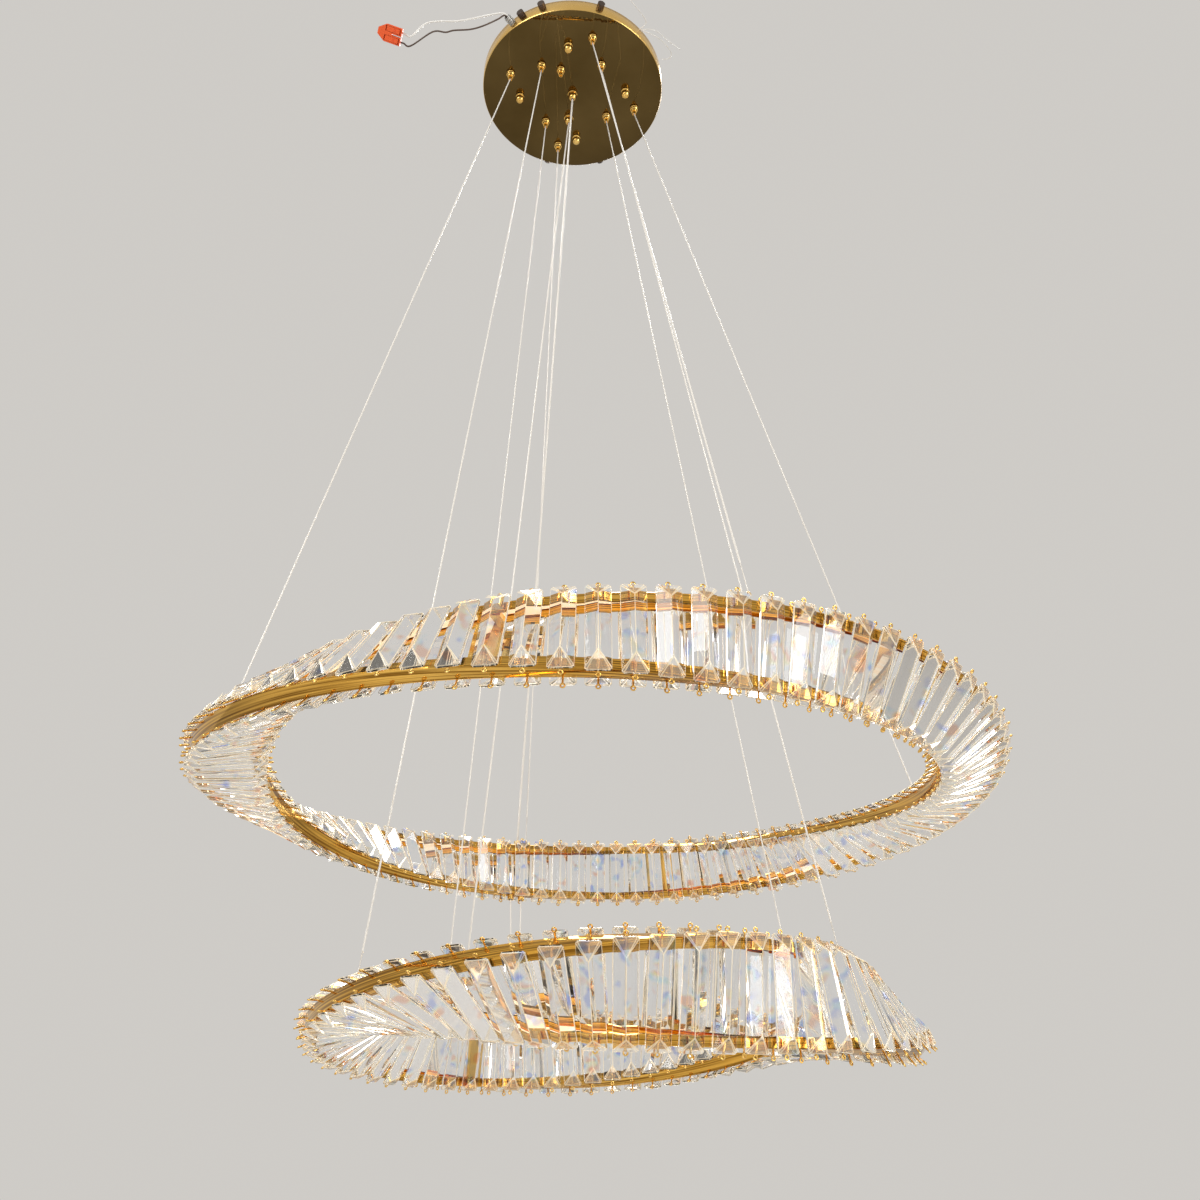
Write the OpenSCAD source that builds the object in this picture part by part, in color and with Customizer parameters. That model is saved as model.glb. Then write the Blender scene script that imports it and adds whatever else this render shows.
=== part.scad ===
/* [Canopy] */
// Diameter of the ceiling canopy
canopy_d = 260; // [240:1:300]
// Height of the canopy wall
canopy_h = 20; // [19:0.5:26]
// Thickness of the canopy sheet
sheet_t = 1.2; // [1:0.1:1.5]
// Thickness of the ceiling bracket plate
bracket_t = 2; // [1.5:0.1:2.5]
// Width of each arm of the ceiling bracket
bracket_arm_w = 30; // [28:1:36]
// Distance between the two ceiling screws
ceiling_screw_gap = 100; // [80:1:120]
// Diameter of the ceiling screw holes
ceiling_hole_d = 5.5; // [4.5:0.1:6.5]
// Distance of the cap nuts from the canopy centre
cap_nut_r = 77; // [74:0.5:79]
// Diameter of a cap nut
cap_nut_d = 12; // [10:0.5:14]
// Height of a cap nut below the canopy face
cap_nut_h = 13; // [11:0.5:15]
// Diameter of the studs that hold the canopy face
stud_d = 5; // [4:0.5:6]
// Turn of the bracket and its studs round the canopy
bracket_turn = -3; // [-4:0.5:-1]

/* [Rings] */
// Distance from the ceiling to the centre of the upper ring
upper_drop = 1070; // [900:5:1250]
// Distance from the upper ring to the lower ring
ring_gap = 224; // [190:1:300]
// Diameter of the upper ring along the middle of its band
upper_ring_d = 724; // [700:2:760]
// Diameter of the lower ring along the middle of its band
lower_ring_d = 500; // [496:2:520]
// Width of the upper band over both rails
upper_band_w = 67; // [62:1:72]
// Width of the lower band over both rails
lower_band_w = 80; // [74:1:82]
// Direction of the first rail of the upper band at the right-hand side
upper_twist = 189; // [180:1:198]
// Direction of the first rail of the lower band at the right-hand side
lower_twist = 149; // [140:1:156]
// How far the upper ring hangs to the right of the canopy
upper_shift_x = 36; // [0:1:40]
// How far the lower ring hangs to the right of the canopy
lower_shift_x = 54; // [0:1:60]
// How far the lower ring hangs behind the canopy centre
lower_shift_y = 32; // [0:1:40]

/* [Rails] */
// Width of a rail across the band
rail_w = 14; // [12:0.5:16]
// Depth of a rail's flanges
rail_depth = 9; // [7:0.5:11]
// Wall of a rail
rail_t = 1.5; // [1.2:0.1:2]
// Width of the light strip inside a rail
strip_w = 8; // [6:0.5:9]
// Thickness of the light strip
strip_t = 1.2; // [1:0.1:1.6]
// Thickness of the spreader plates between the rails
spreader_t = 2; // [1.5:0.1:2.5]

/* [Crystals] */
// Crystals on each face of the upper band
upper_count = 90; // [80:2:92]
// Crystals on each face of the lower band
lower_count = 64; // [56:4:64]
// Width of a crystal bar
crystal_w = 19.6; // [17:0.1:19.8]
// Height of a crystal bar from its flat back to its ridge
crystal_t = 10; // [8:0.5:11]
// Thickness of a crystal bar at its long edges
crystal_edge = 2.2; // [1.5:0.1:3]
// How far a crystal bar reaches past the rails
crystal_over = 3.5; // [2:0.5:5]
// Length of the triangular facets at a crystal's ends
crystal_point = 13; // [10:0.5:18]
// Outer diameter of the eyelet at each end of a crystal
eyelet_d = 5.2; // [4.6:0.1:5.6]
// Hole in each eyelet
eyelet_hole_d = 2.6; // [2:0.1:3]
// Thickness of an eyelet and its shank
eyelet_t = 1.8; // [1.7:0.1:2.2]

/* [Suspension] */
// Diameter of a suspension wire in its clear sleeve
wire_d = 1.8; // [1.4:0.1:2.2]
// Diameter of the bare end of a suspension wire
wire_bare_d = 1; // [0.8:0.1:1.2]
// Length of the bare end of a suspension wire
wire_bare_l = 30; // [20:1:50]
// Diameter of the upper ring's power cable
cable_d = 2.8; // [2.4:0.1:3.4]
// Diameter of the lower ring's power cable
lower_cable_d = 2.2; // [1.8:0.1:2.8]
// Diameter of the leads between the rings
link_d = 1.6; // [1.2:0.1:2]
// Distance of the upper ring's grippers from the canopy centre
upper_gripper_r = 94; // [92:0.5:96]
// Distance of the lower ring's grippers from the canopy centre
lower_gripper_r = 63; // [60:0.5:66]
// Diameter of a gripper's collar
gripper_d = 12; // [11:0.5:13]
// Height of a gripper below the canopy face
gripper_h = 8; // [7:0.5:10]
// Diameter of a gripper's release nozzle
nozzle_d = 5.4; // [4.8:0.1:6]
// How far a release nozzle stands out below its gripper
nozzle_out = 5; // [4:0.5:6]
// Travel of a release nozzle
nozzle_travel = 2; // [1.5:0.1:2.5]
// Distance of the second cable gland from the canopy centre
gland_r = 42; // [40:0.5:44]
// Diameter of a cable gland
gland_d = 14; // [12:0.5:15]
// Height of a cable gland below the canopy face
gland_h = 13; // [11:0.5:15]

/* [Supply] */
// Length of a driver case
driver_l = 66; // [60:1:70]
// Width of a driver case
driver_w = 24; // [20:1:26]
// Height of a driver case
driver_h = 14; // [12:0.5:15]
// Diameter of a supply lead
lead_d = 2.2; // [1.8:0.1:2.6]
// Diameter of a loose wire end at the canopy rim
tail_d = 1; // [0.8:0.1:1.2]

/* [Hidden] */
$fn = 48;

// Clearances between pieces that touch or pass through one another
seat_gap = 0.3;
hole_gap = 0.3;
bore_gap = 0.05;
strip_gap = 0.35;

// Canopy levels, from the ceiling downwards
face_in = -canopy_h + sheet_t;
face_out = -canopy_h;
canopy_in_r = canopy_d / 2 - sheet_t;

// Band sizes
stations = 120;
crystal_seat = rail_w / 2 + seat_gap + eyelet_t;
upper_crystal_l = upper_band_w + 2 * crystal_over;
lower_crystal_l = lower_band_w + 2 * crystal_over;

// A ring is [centre, radius, band width, twist at angle 0, twist sense, crystals on a face]
upper_ring = [
    [upper_shift_x, 0, -upper_drop], upper_ring_d / 2, upper_band_w, upper_twist, -1, upper_count];
lower_ring = [
    [lower_shift_x, lower_shift_y, -upper_drop - ring_gap], lower_ring_d / 2, lower_band_w,
    lower_twist, 1, lower_count];

// Angles round the canopy: grippers for each ring, the spare gripper and the second gland
upper_gripper_angles = [15.8, 105, 200.6, 288.6];
lower_gripper_angles = [38.1, 130.8, 227, 312.2];
spare_gripper_angle = 248;
gland_angle = 99;
stud_angles = [for (k = [0:3]) bracket_turn + 90 * k];
// Every gripper as [distance from the centre, angle], the spare one last
grippers = concat(
    [for (a = upper_gripper_angles) [upper_gripper_r, a]],
    [for (a = lower_gripper_angles) [lower_gripper_r, a]],
    [[gland_r, spare_gripper_angle]]);

// Cable glands as [distance from the centre, angle, cable, room for the cable's slant]
glands = [[0, 0, cable_d, 1.1], [gland_r, gland_angle, lower_cable_d, 0.7]];

// Ends of the wires on the rings. On a band that lies flat a wire passes between two crystals to
// a spreader plate; on a band that stands up it ends on the rail on top.
upper_gap_angle = 16.2;
lower_gap_angle = 37.25;
// Flat places as [angle, place across the band, side of the band that faces up]
upper_flat_ends = [[upper_gap_angle, -10, -1], [upper_gap_angle + 180, 11, 1]];
lower_flat_ends = [[lower_gap_angle, -6, -1], [lower_gap_angle + 180, 24, 1]];
// Upright places as [angle, side of the band with the upper rail]
upper_top_ends = [[105.2, 1], [288, -1]];
lower_top_ends = [[142.7, -1], [327.7, 1]];
// Ends of the cables as [angle, side of the band with the upper rail, room for the cable's slant]
upper_cable_end = [107, 1, 1.45];
lower_cable_end = [134.9, -1, 1.3];
link_room = 1.2;
link_starts = [106.2, 108.4];
link_ends = [115.6, 118];

// Wire, cable and lead fittings
wire_top = face_out - gripper_h - nozzle_out + 1;
cable_top = face_out - gland_h + 2;
post_d = 2.6;
post_l = 5.5;
post_ball_d = 5;
entry_d = 8;
entry_l = 6;
end_gap = 0.4;

// Angles of the fittings in the canopy wall
side_screw_angles = [for (k = [0, 180], s = [-17.5, 17.5]) 90.5 + k + s];
relief_angle = 232;
relief_d = 7.6;
knob_angle = 239.5;
tail_slot_angle = 318;
driver_angles = [152, 332];

// The wire connector's place and its axes
connector_at = [-232, -101, -37];
connector_tilt = [145, 0, -18];
connector_l = 32;
connector_w = 22;
connector_t = 11;
lever_w = 6.4;
lever_l = 17;
lever_t = 3;
lever_pin_d = 2;
lever_pin_x = -20;

function band_phi(ring, a) = ring[3] + ring[4] * a;
function on_band(ring, a, u, v) =
    let (p = band_phi(ring, a), r = ring[1] + u * cos(p) - v * sin(p))
    ring[0] + [r * cos(a), r * sin(a), u * sin(p) + v * cos(p)];
function polar(r, a, z) = [r * cos(a), r * sin(a), z];

// Places its children on a band: X runs across the band, Z out of its front face
module at_band(ring, a) {
    translate(ring[0]) rotate([0, 0, a]) translate([ring[1], 0, 0])
        rotate([0, -band_phi(ring, a), 0]) children();
}

// Sweeps a closed outline, given as [across, out of the face] points, once round a twisted band
module band_sweep(ring, outline) {
    n = len(outline);
    points = [for (i = [0:stations - 1], p = outline) on_band(ring, i * 360 / stations, p[0], p[1])];
    quads = [for (i = [0:stations - 1], j = [0:n - 1])
        let (a = i * n, b = ((i + 1) % stations) * n, k = (j + 1) % n) [a + j, b + j, b + k, a + k]];
    faces = [for (q = quads) each [[q[0], q[1], q[2]], [q[0], q[2], q[3]]]];
    polyhedron(points, faces, convexity = 10);
}

// A straight round rod between two points
module rod(from, to, d) {
    v = to - from;
    l = norm(v);
    translate(from) rotate([0, acos(v[2] / l), atan2(v[1], v[0])]) cylinder(h = l, d = d);
}

// Frame of a swept cord at each point: two axes square to its run
function unit(v) = v / norm(v);
function run_at(path, i) = unit(path[min(i + 1, len(path) - 1)] - path[max(i - 1, 0)]);
function side_at(path, i) = unit(cross(run_at(path, i), [0, 1, 0.2]));
module cord(path, d) {
    n = 8;
    last = len(path) - 1;
    points = [for (i = [0:last], j = [0:n - 1])
        let (s = side_at(path, i), t = cross(run_at(path, i), s), a = j * 360 / n)
        path[i] + d / 2 * (cos(a) * s + sin(a) * t)];
    sides = [for (i = [0:last - 1], j = [0:n - 1])
        let (a = i * n, b = a + n, k = (j + 1) % n) [a + j, b + j, b + k, a + k]];
    triangles = [for (q = sides) each [[q[0], q[1], q[2]], [q[0], q[2], q[3]]]];
    start = [for (j = [1:n - 2]) [0, j, j + 1]];
    end = [for (j = [1:n - 2]) [last * n, last * n + j + 1, last * n + j]];
    polyhedron(points, concat(triangles, start, end), convexity = 10);
}
// Points of a smooth curve through hand-chosen points, some steps to each stretch
function spline(p, steps) = [
    for (i = [0:len(p) - 2], k = [0:steps - 1])
        let (t = k / steps, a = p[max(i - 1, 0)], b = p[i], c = p[i + 1], e = p[min(i + 2, len(p) - 1)])
        0.5 * (2 * b + (c - a) * t + (2 * a - 5 * b + 4 * c - e) * t * t
            + (3 * b - a - 3 * c + e) * t * t * t),
    p[len(p) - 1]];

// A point in the connector's own frame: along, across and out of its lever side
function connector_point(p) =
    let (a = connector_tilt[0], b = connector_tilt[2], x = p[0] * cos(b) - p[1] * sin(b),
        y = p[0] * sin(b) + p[1] * cos(b))
    connector_at + [x, y * cos(a) - p[2] * sin(a), y * sin(a) + p[2] * cos(a)];

// Ends of the wires in the part's frame, at the ring
post_reach = post_l + post_ball_d / 2 + end_gap;
function flat_end(ring, e) = on_band(ring, e[0], e[1], e[2] * (spreader_t / 2 + post_reach));
function top_end(ring, e, l) = on_band(ring, e[0], e[1] * (ring[2] / 2 + l), 0);

// Places its children at a radius and an angle round the canopy
module at_polar(r, a, z) {
    rotate([0, 0, a]) translate([r, 0, z]) children();
}

// Regular hexagon nut across flats with a plain hole
module hex_nut(flats, h, hole_d) {
    difference() {
        cylinder(h = h, d = flats / cos(30), $fn = 6);
        translate([0, 0, -1]) cylinder(h = h + 2, d = hole_d);
    }
}

module ceiling_bracket() {
    tab_r = canopy_in_r - 0.3;
    color("silver") difference() {
        union() {
            for (a = stud_angles)
                rotate([0, 0, a]) translate([0, -bracket_arm_w / 2, -bracket_t])
                    cube([cap_nut_r + bracket_arm_w / 2, bracket_arm_w, bracket_t]);
            for (k = [0, 180])
                rotate([0, 0, k + 0.5]) {
                    translate([-bracket_arm_w / 2, 0, -bracket_t])
                        cube([bracket_arm_w, tab_r - 4, bracket_t]);
                    intersection() {
                        translate([0, 0, -bracket_t]) difference() {
                            cylinder(h = bracket_t, r = tab_r);
                            translate([0, 0, -1]) cylinder(h = bracket_t + 2, r = tab_r - 12);
                        }
                        translate([-48, 90, -20]) cube([96, 60, 40]);
                    }
                    intersection() {
                        translate([0, 0, -14]) difference() {
                            cylinder(h = 14, r = tab_r);
                            translate([0, 0, -1]) cylinder(h = 16, r = tab_r - bracket_t);
                        }
                        translate([-48, 90, -20]) cube([96, 60, 40]);
                    }
                }
        }
        for (s = [-1, 1])
            translate([s * ceiling_screw_gap / 2, 0, -bracket_t - 1])
                cylinder(h = bracket_t + 2, d = ceiling_hole_d);
        for (a = stud_angles)
            at_polar(cap_nut_r, a, -bracket_t - 1) cylinder(h = bracket_t + 2, r = stud_d / 2 + bore_gap);
        for (a = side_screw_angles)
            at_polar(tab_r - 10, a, -8) rotate([0, 90, 0]) cylinder(h = 20, r = 2 + bore_gap);
        translate([0, 0, -bracket_t - 1]) cylinder(h = bracket_t + 2, d = 30);
    }
}

module bracket_studs() {
    color("silver") for (a = stud_angles)
        at_polar(cap_nut_r, a, 0) {
            translate([0, 0, face_out - cap_nut_h + 5]) cylinder(h = -face_out + cap_nut_h - 5 - 0.3, d = stud_d);
            translate([0, 0, -bracket_t - 4.2]) hex_nut(8, 4, stud_d - 0.01);
        }
}

module canopy_pan() {
    color("gold") difference() {
        translate([0, 0, face_out]) cylinder(h = canopy_h, d = canopy_d, $fn = 96);
        translate([0, 0, face_in]) cylinder(h = canopy_h, r = canopy_in_r, $fn = 96);
        for (a = stud_angles)
            at_polar(cap_nut_r, a, face_out - 1) cylinder(h = sheet_t + 2, r = stud_d / 2 + hole_gap);
        for (g = grippers)
            at_polar(g[0], g[1], face_out - 1) cylinder(h = sheet_t + 2, r = 4 + bore_gap);
        for (g = glands)
            at_polar(g[0], g[1], face_out - 1) cylinder(h = sheet_t + 2, r = 4 + bore_gap);
        for (a = side_screw_angles)
            at_polar(canopy_in_r - 4, a, -8) rotate([0, 90, 0]) cylinder(h = 10, r = 2 + hole_gap);
        at_polar(canopy_in_r - 4, relief_angle, -9) rotate([0, 90, 0])
            cylinder(h = 10, r = relief_d / 2 + bore_gap);
        at_polar(canopy_in_r - 4, knob_angle, -8) rotate([0, 90, 0]) cylinder(h = 10, r = 2 + bore_gap);
        rotate([0, 0, tail_slot_angle]) translate([canopy_in_r - 4, -4, -4]) cube([10, 8, 8]);
    }
}

module knob_screw(r, a, z, inner) {
    at_polar(r, a, z) rotate([0, 90, 0]) {
        translate([0, 0, -inner]) cylinder(h = inner + 2, d = 4);
        difference() {
            translate([0, 0, 0.1]) cylinder(h = 8, d = 10);
            for (k = [0:11])
                rotate([0, 0, 30 * k]) translate([5.2, 0, 1]) cylinder(h = 8, d = 1.2, $fn = 16);
        }
    }
}

module side_screws() {
    color("dimgray") for (a = side_screw_angles)
        knob_screw(canopy_d / 2, a, -8, 8);
}

module clamp_knob() {
    color("dimgray") knob_screw(canopy_d / 2, knob_angle, -8, 5);
}

module strain_relief() {
    color("silver") at_polar(canopy_d / 2, relief_angle, -9) rotate([0, 90, 0]) difference() {
        union() {
            translate([0, 0, -7]) cylinder(h = 20, d = relief_d);
            for (k = [0:3])
                translate([0, 0, 0.1 + 3.2 * k]) cylinder(h = 1.4, d = 10);
            translate([0, 0, -3.6]) cylinder(h = 2, d = 10);
        }
        translate([0, 0, -8]) cylinder(h = 22, d = 5.4);
        translate([0, 0, 7.1]) cylinder(h = 6, r1 = 2.6, r2 = relief_d / 2 - 0.3);
    }
}

module cap_nuts() {
    ball = cap_nut_d / 2;
    color("gold") for (a = stud_angles)
        at_polar(cap_nut_r, a, face_out) difference() {
            union() {
                translate([0, 0, -2.5]) cylinder(h = 2.5, d = cap_nut_d);
                translate([0, 0, -cap_nut_h + ball]) cylinder(h = cap_nut_h - ball, d = cap_nut_d - 2);
                translate([0, 0, -cap_nut_h + ball]) sphere(r = ball);
            }
            translate([0, 0, -cap_nut_h + 4]) cylinder(h = cap_nut_h, r = stud_d / 2 + bore_gap);
        }
}

module gripper_bodies() {
    tail_l = 12;
    color("gold") for (g = grippers)
        at_polar(g[0], g[1], face_out) difference() {
            union() {
                rotate_extrude() polygon([
                    [0, 0], [gripper_d / 2, 0], [gripper_d / 2, -gripper_h * 0.45],
                    [gripper_d / 2 - 1.6, -gripper_h * 0.6], [4.2, -gripper_h], [0, -gripper_h]]);
                cylinder(h = tail_l, r = 4);
            }
            translate([0, 0, -gripper_h - 1]) cylinder(h = gripper_h + 10, r = nozzle_d / 2 + bore_gap);
            translate([0, 0, 2]) cylinder(h = tail_l, r = 1.6);
        }
}

module gripper_locknuts() {
    color("gold") for (g = grippers)
        at_polar(g[0], g[1], face_in) hex_nut(12, 3, 8);
}

module gripper_nozzle(i) {
    g = grippers[i];
    color("gold") at_polar(g[0], g[1], face_out - gripper_h - nozzle_out) difference() {
        cylinder(h = nozzle_out + 7, d = nozzle_d);
        translate([0, 0, -1]) cylinder(h = 4, r = 2.2);
        translate([0, 0, 1]) cylinder(h = nozzle_out + 8, r = 1.2);
    }
}

module cable_glands() {
    color("gold") for (g = glands)
        at_polar(g[0], g[1], face_out) difference() {
            union() {
                translate([0, 0, -3.5]) cylinder(h = 3.5, d = gland_d);
                translate([0, 0, -gland_h + 4]) cylinder(h = gland_h - 4, d = gland_d - 3);
                translate([0, 0, -gland_h + 4]) sphere(d = gland_d - 3);
                cylinder(h = 9, r = 4);
            }
            translate([0, 0, -gland_h - 5]) cylinder(h = 8, r = g[2] / 2 + g[3]);
            translate([0, 0, -gland_h - 2]) cylinder(h = gland_h + 20, r = g[2] / 2 + 0.3);
            translate([0, 0, -gland_h - 5]) cylinder(h = 4.5, d = gland_d);
        }
}

module gland_locknuts() {
    color("gold") for (g = glands)
        at_polar(g[0], g[1], face_in) hex_nut(13, 3, 8);
}

module driver_case(a) {
    color("white") at_polar(100, a, face_in) {
        translate([-driver_w / 2, -driver_l / 2, 0]) cube([driver_w, driver_l, driver_h]);
        for (s = [-1, 1])
            translate([-5, s * (driver_l / 2 + 3) - 3.5, 0]) cube([10, 7, 2]);
    }
}

module led_driver_upper() {
    driver_case(driver_angles[0]);
}

module led_driver_lower() {
    driver_case(driver_angles[1]);
}

module terminal_block() {
    color("ivory") at_polar(104, 62, face_in) difference() {
        translate([-8, -16, 0]) cube([16, 32, 11]);
        for (k = [-1:1])
            translate([0, 10 * k, 4]) {
                cylinder(h = 8, d = 4.4);
                translate([-9, 0, 2]) rotate([0, 90, 0]) cylinder(h = 18, d = 3);
            }
    }
}

module wire_connector() {
    color("orangered") translate(connector_at) rotate([connector_tilt[0], 0, 0])
        rotate([0, 0, connector_tilt[2]]) difference() {
            translate([0, 0, -connector_t / 2]) linear_extrude(connector_t) polygon([
                [-connector_l, -4], [-connector_l + 10, -connector_w / 2], [0, -connector_w / 2],
                [0, -0.8], [-13, -0.8], [-13, 0.8], [0, 0.8],
                [0, connector_w / 2], [-connector_l + 10, connector_w / 2], [-connector_l, 4]]);
            for (s = [-1, 1]) {
                difference() {
                    translate([lever_pin_x - 2.5, s * 5.9 - lever_w / 2 - 0.3, connector_t / 2 - lever_t - 0.6])
                        cube([lever_l + 3.4, lever_w + 0.6, lever_t + 2]);
                    translate([lever_pin_x, s * 5.9 - lever_w, connector_t / 2 - lever_t / 2])
                        rotate([-90, 0, 0]) cylinder(h = 2 * lever_w, d = lever_pin_d);
                }
                translate([-9, s * 5.9, -2]) rotate([0, 90, 0]) cylinder(h = 10, d = lead_d + 0.6);
            }
        }
}

module connector_lever(s) {
    color("orangered") translate(connector_at) rotate([connector_tilt[0], 0, 0])
        rotate([0, 0, connector_tilt[2]])
            translate([lever_pin_x, s * 5.9, connector_t / 2 - lever_t / 2]) difference() {
                union() {
                    translate([0, lever_w / 2, 0]) rotate([90, 0, 0]) cylinder(h = lever_w, d = lever_t);
                    translate([0, -lever_w / 2, -lever_t / 2]) cube([lever_l, lever_w, lever_t]);
                    translate([lever_l - 5, -lever_w / 2, -lever_t / 2]) cube([5, lever_w, lever_t + 1.5]);
                }
                translate([0, lever_w, 0]) rotate([90, 0, 0])
                    cylinder(h = 2 * lever_w, r = lever_pin_d / 2 + bore_gap);
            }
}

module lead_white() {
    color("white") cord(spline([
        polar(137, relief_angle + 0.55, -9), polar(146, relief_angle + 0.55, -9), [-101, -117, -9],
        [-131, -110, -8], [-157, -108, -12], [-179, -108, -12], [-200, -107, -16],
        connector_point([12, 5.9, -2]), connector_point([3, 5.9, -2]), connector_point([-5, 5.9, -2])], 3), lead_d);
}

module lead_brown() {
    color("saddlebrown") cord(spline([
        polar(137, relief_angle - 0.55, -9), polar(146, relief_angle - 0.55, -9), [-101, -111, -13],
        [-122, -104, -17], [-139, -102, -21], [-161, -102, -23], [-172, -102, -27], [-190, -102, -26],
        connector_point([14, -5.9, -2]), connector_point([4, -5.9, -2]), connector_point([-5, -5.9, -2])], 3), lead_d);
}

module wire_tail_1() {
    color("white") cord(spline([
        polar(122, tail_slot_angle - 1, -3.3), polar(132, tail_slot_angle - 1, -3.3), [104, -100, -4],
        [98, -113, -5], [82, -133, -5]], 3), tail_d);
}

module wire_tail_2() {
    color("white") cord(spline([
        polar(122, tail_slot_angle, -3.3), polar(132, tail_slot_angle, -3.3), [117, -89, -5],
        [136, -74, -6], [154, -60, -6]], 3), tail_d);
}

module wire_tail_3() {
    color("white") cord(spline([
        polar(122, tail_slot_angle + 1, -3.3), polar(132, tail_slot_angle + 1, -3.3), [122, -77, -4],
        [137, -62, -5], [142, -52, -5], [138, -45, -5], [129, -44, -5]], 3), tail_d);
}

// A suspension wire: sleeved down to its bare end
module wire(g, end) {
    start = polar(g[0], g[1], wire_top);
    run = (end - start) / norm(end - start);
    rod(start, end - wire_bare_l * run, wire_d);
    rod(end - (wire_bare_l + 1) * run, end, wire_bare_d);
}

module upper_wires() {
    color("silver") {
        wire(grippers[0], flat_end(upper_ring, upper_flat_ends[0]));
        wire(grippers[1], top_end(upper_ring, upper_top_ends[0], post_reach));
        wire(grippers[2], flat_end(upper_ring, upper_flat_ends[1]));
        wire(grippers[3], top_end(upper_ring, upper_top_ends[1], post_reach));
    }
}

module lower_wires() {
    color("silver") {
        wire(grippers[4], flat_end(lower_ring, lower_flat_ends[0]));
        wire(grippers[5], top_end(lower_ring, lower_top_ends[0], post_reach));
        wire(grippers[6], flat_end(lower_ring, lower_flat_ends[1]));
        wire(grippers[7], top_end(lower_ring, lower_top_ends[1], post_reach));
    }
}

module upper_cable() {
    color("white") rod([0, 0, cable_top], top_end(upper_ring, upper_cable_end, entry_l - 2), cable_d);
}

module lower_cable() {
    color("white") rod(polar(gland_r, gland_angle, cable_top),
        top_end(lower_ring, lower_cable_end, entry_l - 2), lower_cable_d);
}

module ring_link_leads() {
    color("white") for (i = [0, 1])
        rod(top_end(upper_ring, [link_starts[i], -1], entry_l - 2),
            top_end(lower_ring, [link_ends[i], -1], entry_l - 2), link_d);
}

// One rail of a band, side 1 or -1, with its open channel towards the other rail
module rail(ring, side) {
    w = ring[2] / 2;
    h = rail_w / 2;
    outline = [
        [w, -h], [w, h], [w - rail_depth, h], [w - rail_depth, h - rail_t], [w - rail_t, h - rail_t],
        [w - rail_t, -h + rail_t], [w - rail_depth, -h + rail_t], [w - rail_depth, -h]];
    band_sweep(ring, [for (p = outline) side * p]);
}

module light_strip(ring, side) {
    u = ring[2] / 2 - rail_t - strip_gap;
    outline = [[u, -strip_w / 2], [u, strip_w / 2], [u - strip_t, strip_w / 2], [u - strip_t, -strip_w / 2]];
    band_sweep(ring, [for (p = outline) side * p]);
}

// Plates that hold the two rails apart, with an end block inside each channel
module spreaders(ring, first_angle, count) {
    reach = ring[2] / 2 - rail_t - strip_gap - strip_t - 0.4;
    for (k = [0:count - 1])
        at_band(ring, first_angle + k * 360 / count) {
            translate([-reach, -5, -spreader_t / 2]) cube([2 * reach, 10, spreader_t]);
            for (s = [-1, 1])
                translate([s * (reach - 2.5) - 2.5, -5, -4.5]) cube([5, 10, 9]);
        }
}

// A crystal bar lying across the band: flat back, ridge along its middle, hipped ends
module crystal(l) {
    w = crystal_w / 2;
    e = crystal_edge;
    t = crystal_t;
    q = l / 2 - crystal_point;
    intersection() {
        translate([-l / 2, 0, 0]) rotate([90, 0, 90]) linear_extrude(l)
            polygon([[-w, 0], [w, 0], [w, e], [0, t], [-w, e]]);
        translate([0, w, 0]) rotate([90, 0, 0]) linear_extrude(crystal_w)
            polygon([[-l / 2, 0], [l / 2, 0], [l / 2, e], [q, t], [-q, t], [-l / 2, e]]);
    }
}

module crystals(ring, first_gap, l, face) {
    pitch = 360 / ring[5];
    for (i = [0:ring[5] - 1])
        at_band(ring, first_gap + (i + 0.5) * pitch)
            mirror([0, 0, face > 0 ? 0 : 1]) translate([0, 0, crystal_seat]) crystal(l);
}

// A loop past the end of a crystal on a shank that lies between the crystal and the rail
module eyelet(band_w, l) {
    c = l / 2 + eyelet_d / 2 - 0.3;
    translate([0, 0, rail_w / 2 + seat_gap]) linear_extrude(eyelet_t) difference() {
        union() {
            translate([c, 0]) circle(d = eyelet_d, $fn = 24);
            translate([band_w / 2 - rail_depth + 1, -1.2]) square([c - 1 - band_w / 2 + rail_depth - 1, 2.4]);
        }
        translate([c, 0]) circle(d = eyelet_hole_d, $fn = 24);
    }
}

module eyelets(ring, first_gap, l, face) {
    pitch = 360 / ring[5];
    for (i = [0:ring[5] - 1], s = [-1, 1])
        at_band(ring, first_gap + (i + 0.5) * pitch)
            mirror([0, 0, face > 0 ? 0 : 1]) mirror([s > 0 ? 0 : 1, 0, 0]) eyelet(ring[2], l);
}

module post() {
    translate([0, 0, seat_gap]) cylinder(h = post_l - seat_gap, d = post_d);
    translate([0, 0, post_l]) sphere(d = post_ball_d);
}

module wire_posts(ring, flat_ends, top_ends) {
    for (e = flat_ends)
        at_band(ring, e[0]) mirror([0, 0, e[2] > 0 ? 0 : 1])
            translate([e[1], 0, spreader_t / 2]) post();
    for (e = top_ends)
        at_band(ring, e[0]) translate([e[1] * ring[2] / 2, 0, 0]) rotate([0, e[1] * 90, 0]) post();
}

module entries(ring, ends) {
    for (e = ends)
        at_band(ring, e[0]) translate([e[1] * ring[2] / 2, 0, 0]) rotate([0, e[1] * 90, 0]) difference() {
            translate([0, 0, seat_gap]) cylinder(h = entry_l - seat_gap, d = entry_d);
            translate([0, 0, 1.5]) cylinder(h = entry_l, r = cable_d / 2 + e[2]);
        }
}

module upper_rail_a() {
    color("goldenrod") rail(upper_ring, 1);
}

module upper_rail_b() {
    color("goldenrod") rail(upper_ring, -1);
}

module lower_rail_a() {
    color("goldenrod") rail(lower_ring, 1);
}

module lower_rail_b() {
    color("goldenrod") rail(lower_ring, -1);
}

module upper_strip_a() {
    color("lightyellow") light_strip(upper_ring, 1);
}

module upper_strip_b() {
    color("lightyellow") light_strip(upper_ring, -1);
}

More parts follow.
